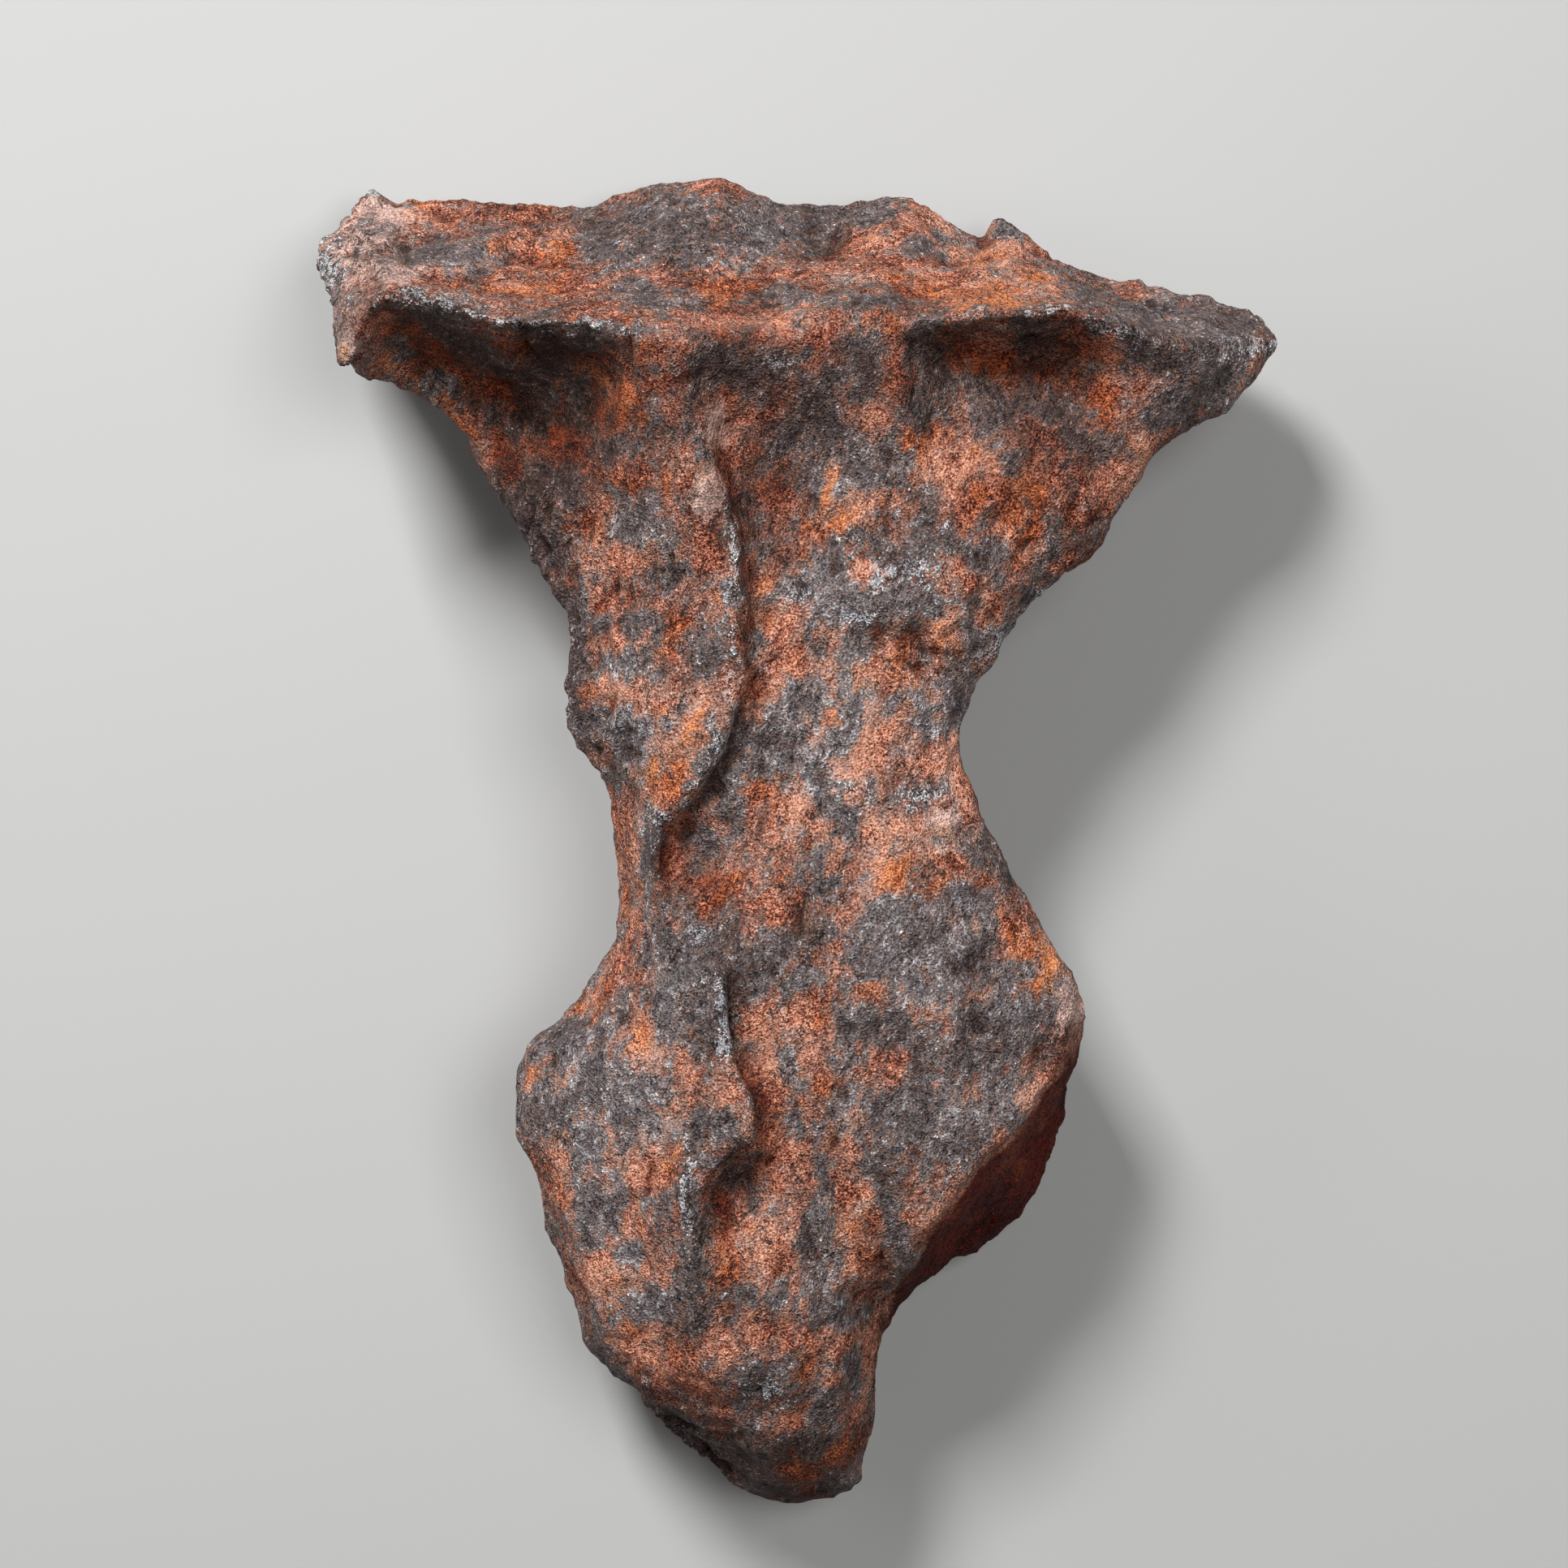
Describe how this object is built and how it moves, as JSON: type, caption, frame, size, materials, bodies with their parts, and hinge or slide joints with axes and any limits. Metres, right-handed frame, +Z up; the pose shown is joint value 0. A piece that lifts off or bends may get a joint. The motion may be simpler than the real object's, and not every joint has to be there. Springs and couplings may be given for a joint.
{
  "type": "iron meteorite",
  "caption": "A torn, rusted lump of iron meteorite with a wide flaring head, a narrow ridged waist and a blunt nose.",
  "frame": {"origin": "on the bench under the middle of the lump's box; the lump lies on its back on its worn flats", "axes": "+X across the head, +Y from the blunt nose to the wide head, +Z up, out of the ridged front"},
  "size_m": [0.128, 0.18, 0.0481],
  "materials": {
    "rusted_iron": "rough, mottled rust over dark iron, worn to bare metal on the crests and rims"
  },
  "bodies": {
    "root": {"meteorite": "rusted_iron"}
  },
  "joints": []
}
